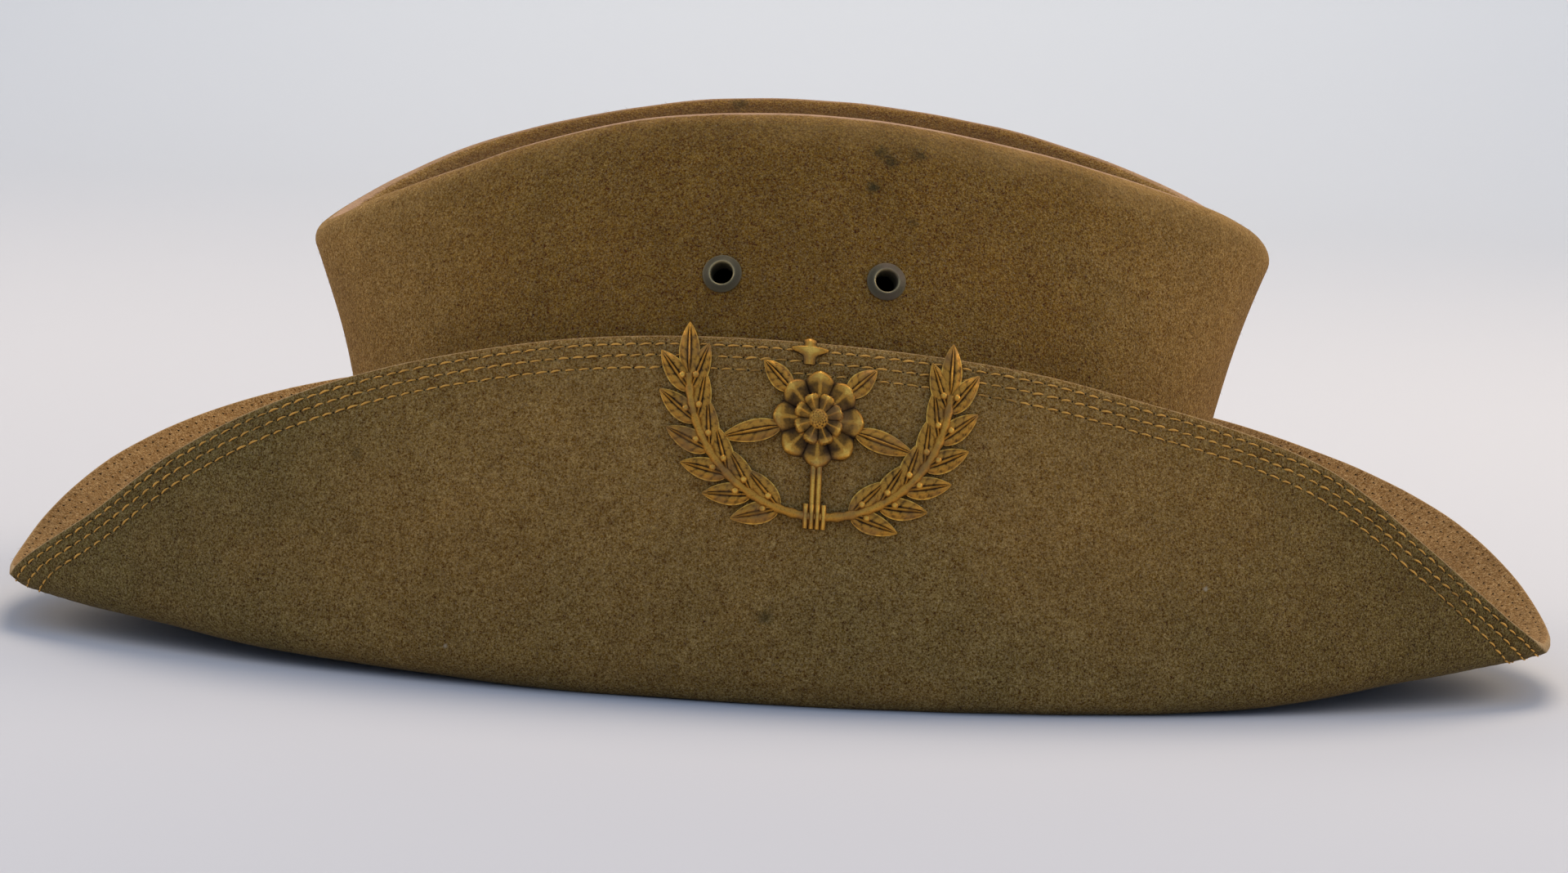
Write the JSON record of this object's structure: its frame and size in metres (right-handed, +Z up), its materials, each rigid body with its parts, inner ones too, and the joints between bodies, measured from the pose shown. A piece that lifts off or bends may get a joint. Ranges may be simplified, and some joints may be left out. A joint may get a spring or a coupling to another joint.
{
  "type": "slouch hat",
  "caption": "Wide-brimmed felt hat with a dented crown, one side of the brim turned up against the crown, metal vent eyelets and a cast brass badge on the turned-up brim.",
  "frame": {"origin": "The middle of the hat's underside, on the table that it lies on.", "axes": "The hat's front points to -X and its back to +X. The turned-up side of the brim is at -Y. +Z is up, out of the crown."},
  "size_m": [0.361, 0.24, 0.1265],
  "materials": {
    "felt": "matt wool felt",
    "eyelet_metal": "dark patina",
    "badge_brass": "aged cast brass",
    "clip_brass": "worn bright brass"
  },
  "bodies": {
    "root": {"felt_body": "felt", "eyelet_near_front": "eyelet_metal", "eyelet_near_back": "eyelet_metal", "eyelet_far_front": "eyelet_metal", "eyelet_far_back": "eyelet_metal", "brim_badge": "badge_brass", "brim_clip": "clip_brass"}
  },
  "joints": []
}
